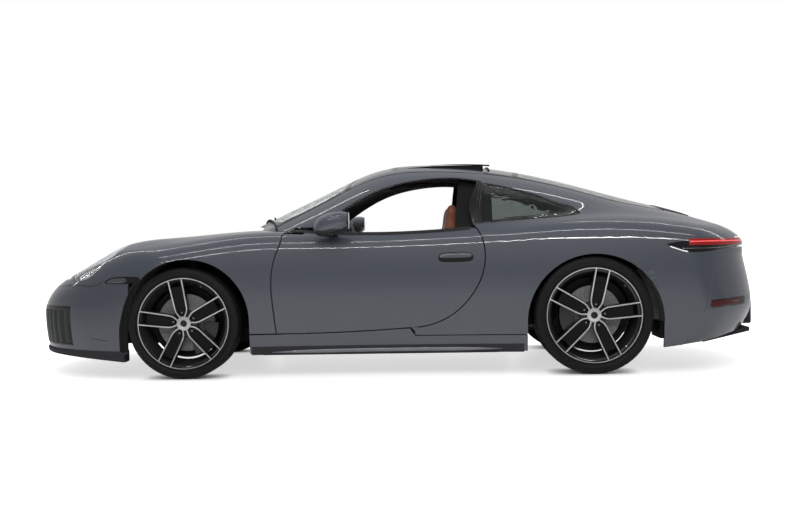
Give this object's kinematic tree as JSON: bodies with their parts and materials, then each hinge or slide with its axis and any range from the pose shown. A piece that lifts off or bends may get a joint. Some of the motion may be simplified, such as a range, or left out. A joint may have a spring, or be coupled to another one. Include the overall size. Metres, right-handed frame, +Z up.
{
  "type": "coupe car",
  "caption": "Two-door sports coupe with the engine behind the rear axle, round front lamps, wide rear haunches, a tilted sunroof and double-spoke wheels.",
  "frame": {"origin": "on the ground under the middle of the car", "axes": "+X towards the tail, +Y to the car's right, +Z up"},
  "size_m": [4.5474, 2, 1.3019],
  "materials": {
    "body_paint": "gloss",
    "window_glass": "clear",
    "black_trim": "matte",
    "gloss_black": "gloss",
    "lamp_lens": "clear",
    "red_lens": "gloss",
    "tyre": "matte",
    "alloy": "satin",
    "disc_iron": "machined",
    "caliper": "gloss",
    "steel_parts": "brushed",
    "floor_metal": "satin",
    "engine_metal": "cast",
    "seat_leather": "satin",
    "exhaust_steel": "brushed"
  },
  "bodies": {
    "shell": {"bulkhead": "floor_metal", "bumper_guards": "black_trim", "console": "black_trim", "cowl": "black_trim", "dashboard": "black_trim", "diffuser": "black_trim", "door_pillars": "floor_metal", "engine": "engine_metal", "exhaust": "exhaust_steel", "floor_pan": "floor_metal", "front_bumper": "body_paint", "front_grilles": "black_trim", "front_lip": "black_trim", "front_seats": "seat_leather", "front_suspension": "steel_parts", "front_wings": "body_paint", "gearbox": "engine_metal", "headlamps": "lamp_lens", "lid_channel": "black_trim", "luggage_tub": "black_trim", "rear_bumper": "body_paint", "rear_calipers": "caliper", "rear_floor": "floor_metal", "rear_quarters": "body_paint", "rear_seats": "seat_leather", "rear_suspension": "steel_parts", "rear_windows": "window_glass", "roof": "body_paint", "roof_rails": "body_paint", "sills": "body_paint", "sunroof": "gloss_black", "tail_lamps": "red_lens", "wheel_housings": "black_trim", "windscreen": "window_glass"},
    "door_left": {"door_left": "body_paint", "mirror_left": "body_paint"},
    "door_right": {"door_right": "body_paint", "mirror_right": "body_paint"},
    "bonnet": {"bonnet": "body_paint"},
    "engine_lid": {"engine_lid": "body_paint"},
    "steering_wheel": {"steering_wheel": "black_trim"},
    "knuckle_left": {"knuckle_left": "steel_parts", "front_caliper_left": "caliper"},
    "knuckle_right": {"knuckle_right": "steel_parts", "front_caliper_right": "caliper"},
    "front_wheel_left": {"front_tyre_left": "tyre", "front_rim_left": "alloy", "front_disc_left": "disc_iron"},
    "front_wheel_right": {"front_tyre_right": "tyre", "front_rim_right": "alloy", "front_disc_right": "disc_iron"},
    "rear_wheel_left": {"rear_tyre_left": "tyre", "rear_rim_left": "alloy", "rear_disc_left": "disc_iron"},
    "rear_wheel_right": {"rear_tyre_right": "tyre", "rear_rim_right": "alloy", "rear_disc_right": "disc_iron"}
  },
  "joints": [
    {"name": "steer_left", "type": "hinge", "parent": "shell", "child": "knuckle_left", "pos_m": [-1.244, -0.72, 0.334], "axis": [0, 0, 1], "range_deg": [-35, 35]},
    {"name": "steer_right", "type": "hinge", "parent": "shell", "child": "knuckle_right", "pos_m": [-1.244, 0.72, 0.334], "axis": [0, 0, 1], "range_deg": [-35, 35]},
    {"name": "steering_turn", "type": "hinge", "parent": "shell", "child": "steering_wheel", "pos_m": [-0.18845, -0.375, 0.745], "axis": [0.9409, 0, 0.3387], "range_deg": [-490, 490]},
    {"name": "front_wheel_spin_left", "type": "hinge", "parent": "knuckle_left", "child": "front_wheel_left", "pos_m": [-1.244, -0.7945, 0.334], "axis": [0, 1, 0], "continuous": true},
    {"name": "front_wheel_spin_right", "type": "hinge", "parent": "knuckle_right", "child": "front_wheel_right", "pos_m": [-1.244, 0.7945, 0.334], "axis": [0, 1, 0], "continuous": true},
    {"name": "rear_wheel_spin_left", "type": "hinge", "parent": "shell", "child": "rear_wheel_left", "pos_m": [1.206, -0.7725, 0.35], "axis": [0, 1, 0], "continuous": true},
    {"name": "rear_wheel_spin_right", "type": "hinge", "parent": "shell", "child": "rear_wheel_right", "pos_m": [1.206, 0.7725, 0.35], "axis": [0, 1, 0], "continuous": true},
    {"name": "door_swing_left", "type": "hinge", "parent": "shell", "child": "door_left", "pos_m": [-0.59965, -0.795, 0.5], "axis": [0, 0, -1], "range_deg": [0, 65]},
    {"name": "door_swing_right", "type": "hinge", "parent": "shell", "child": "door_right", "pos_m": [-0.59965, 0.795, 0.5], "axis": [0, 0, 1], "range_deg": [0, 65]},
    {"name": "bonnet_lift", "type": "hinge", "parent": "shell", "child": "bonnet", "pos_m": [-0.7932, 0, 0.888], "axis": [0, 1, 0], "range_deg": [0, 65]},
    {"name": "engine_lid_lift", "type": "hinge", "parent": "shell", "child": "engine_lid", "pos_m": [1.6746, 0, 1.006], "axis": [0, -1, 0], "range_deg": [0, 60]}
  ],
  "couplings": [
    {"joint": "steer_right", "follows": "steer_left", "ratio": 1},
    {"joint": "steering_turn", "follows": "steer_left", "ratio": 14}
  ]
}
